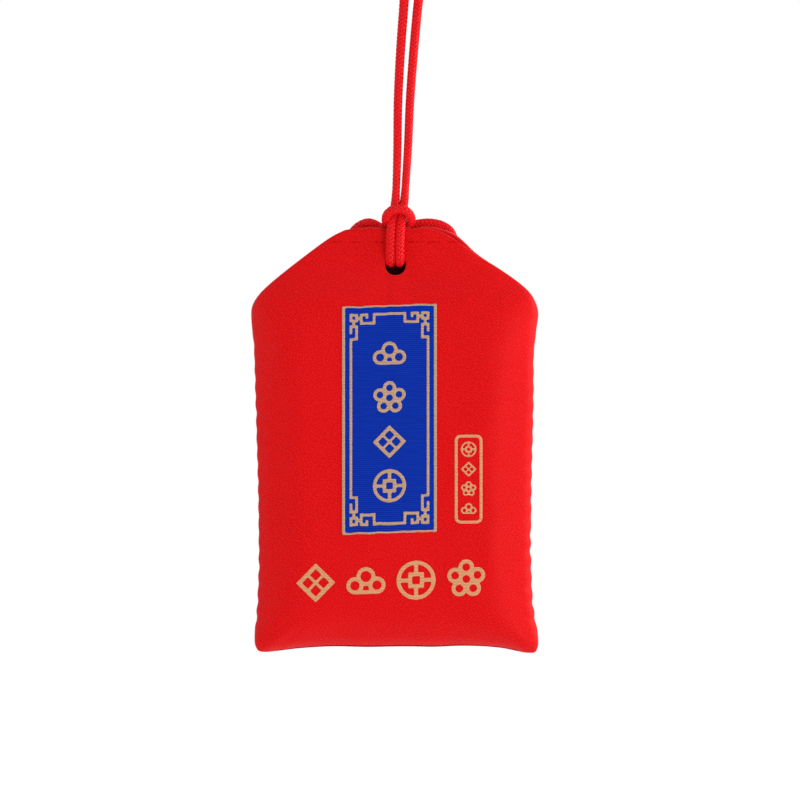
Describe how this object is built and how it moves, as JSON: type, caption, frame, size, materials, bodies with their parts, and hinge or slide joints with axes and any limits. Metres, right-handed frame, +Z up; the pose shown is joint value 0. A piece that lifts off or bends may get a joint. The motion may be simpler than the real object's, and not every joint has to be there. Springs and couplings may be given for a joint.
{
  "type": "amulet pouch",
  "caption": "Flat padded brocade pouch with folded-in shoulders, hung by a braided cord hitched through a hole under its mouth, with a wrapped tablet inside.",
  "frame": {"origin": "where the hanging loop rests on its hook, under the loop's crown", "axes": "+Z up along the hanging cord, -Y out of the pouch's front face, +X to the right seen from the front"},
  "size_m": [0.06, 0.0096, 0.1788],
  "materials": {
    "red_satin": "satin",
    "red_thread": "matte",
    "red_cord": "satin",
    "blue_weft": "matte",
    "gold_weft": "satin",
    "basswood": "matte",
    "white_paper": "matte",
    "wadding": "matte"
  },
  "bodies": {
    "hanging_loop": {"left_upper_strand": "red_cord", "right_upper_strand": "red_cord", "end_knot": "red_cord", "left_tail": "red_cord", "right_tail": "red_cord"},
    "strands": {"left_lower_strand": "red_cord", "right_lower_strand": "red_cord"},
    "hitch": {"left_leg": "red_cord", "right_leg": "red_cord", "left_ear": "red_cord", "right_ear": "red_cord", "hitch_band": "red_cord"},
    "pouch": {"front_panel": "red_satin", "back_panel": "red_satin", "front_hem": "red_satin", "back_hem": "red_satin", "left_corner_tuck": "red_satin", "right_corner_tuck": "red_satin", "left_seam_thread": "red_thread", "right_seam_thread": "red_thread", "front_hem_thread": "red_thread", "back_hem_thread": "red_thread", "front_wadding": "wadding", "back_wadding": "wadding", "blue_field": "blue_weft", "gold_border_line": "gold_weft", "gold_fret": "gold_weft", "field_cloud": "gold_weft", "field_blossom": "gold_weft", "field_lattice": "gold_weft", "field_coin": "gold_weft", "seal_frame": "gold_weft", "seal_coin": "gold_weft", "seal_lattice": "gold_weft", "seal_blossom": "gold_weft", "seal_cloud": "gold_weft", "row_lattice": "gold_weft", "row_cloud": "gold_weft", "row_coin": "gold_weft", "row_blossom": "gold_weft"},
    "amulet": {"amulet_tablet": "basswood", "paper_wrapper": "white_paper"}
  },
  "joints": [
    {"name": "cord_twist", "type": "hinge", "parent": "hanging_loop", "child": "strands", "pos_m": [-0.00185, -0.00059, -0.02785], "axis": [0, 0, 1], "range_deg": [-180, 180]},
    {"name": "pouch_swing", "type": "hinge", "parent": "strands", "child": "hitch", "pos_m": [-0.0042, -0.0014, -0.0705], "axis": [1, 0, 0], "range_deg": [-80, 80]},
    {"name": "pouch_rock", "type": "hinge", "parent": "hitch", "child": "pouch", "pos_m": [-0.0051, 0, -0.08435], "axis": [0, 1, 0], "range_deg": [-8, 8]},
    {"name": "amulet_slide", "type": "slide", "parent": "pouch", "child": "amulet", "axis": [0, 0, 1], "range_m": [0, 0.005]}
  ]
}
